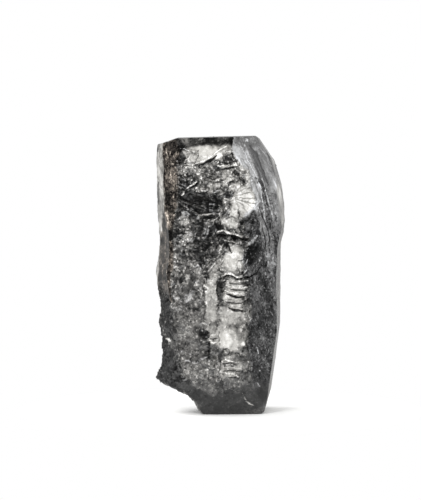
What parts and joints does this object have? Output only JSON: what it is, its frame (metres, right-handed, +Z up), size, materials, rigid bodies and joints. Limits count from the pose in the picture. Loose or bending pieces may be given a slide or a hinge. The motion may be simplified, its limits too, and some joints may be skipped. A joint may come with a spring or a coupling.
{
  "type": "rough black diamond",
  "caption": "Rough black diamond: a tall broken grey crystal with a stepped front, smooth dark side faces and a small flat foot to stand on.",
  "frame": {"origin": "middle of the bounding box in X and Y, at the height of the flat foot", "axes": "+Z up along the crystal's length, -Y towards the broken stepped front, +X towards the smooth dark side face"},
  "size_m": [0.0044, 0.0038, 0.0092],
  "materials": {
    "grey_diamond": "glassy broken grey diamond, dark with included specks"
  },
  "bodies": {
    "root": {"rough_diamond": "grey_diamond"}
  },
  "joints": []
}
